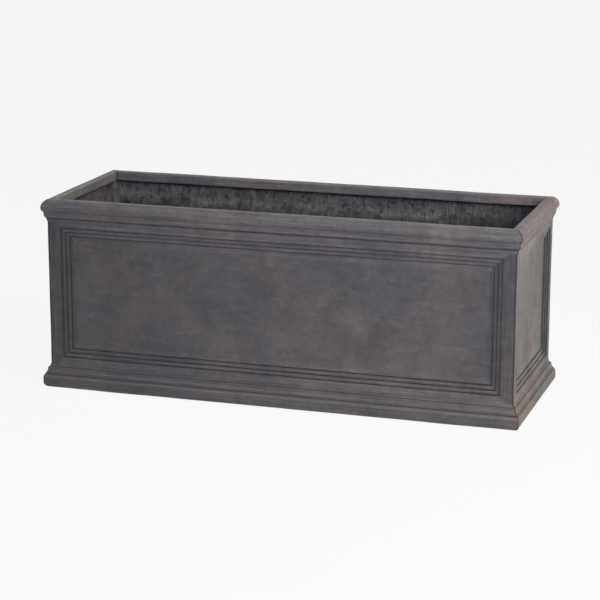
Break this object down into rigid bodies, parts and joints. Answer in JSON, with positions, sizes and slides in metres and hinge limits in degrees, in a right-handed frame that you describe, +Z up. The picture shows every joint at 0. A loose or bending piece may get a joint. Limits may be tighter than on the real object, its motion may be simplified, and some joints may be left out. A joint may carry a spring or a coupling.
{
  "type": "trough planter",
  "caption": "Long rectangular trough planter in a faux-lead finish, with sunk stepped panels, a round-nosed rim, a torus plinth and drain holes in its floor.",
  "frame": {"origin": "middle of the footprint, on the ground", "axes": "+X along the length to the right seen from the front, +Y to the back, +Z up"},
  "size_m": [1, 0.376, 0.395],
  "materials": {
    "lead_face": "matt, washed dark in the grooves",
    "laminate": "rough, fibrous"
  },
  "bodies": {
    "root": {"front_wall": "lead_face", "back_wall": "lead_face", "left_end_wall": "lead_face", "right_end_wall": "lead_face", "front_rim": "lead_face", "back_rim": "lead_face", "left_end_rim": "lead_face", "right_end_rim": "lead_face", "front_plinth": "lead_face", "back_plinth": "lead_face", "left_end_plinth": "lead_face", "right_end_plinth": "lead_face", "floor_panel": "laminate", "front_left_corner_strip": "laminate", "front_right_corner_strip": "laminate", "back_right_corner_strip": "laminate", "back_left_corner_strip": "laminate", "front_floor_strip": "laminate", "back_floor_strip": "laminate", "left_end_floor_strip": "laminate", "right_end_floor_strip": "laminate"}
  },
  "joints": []
}
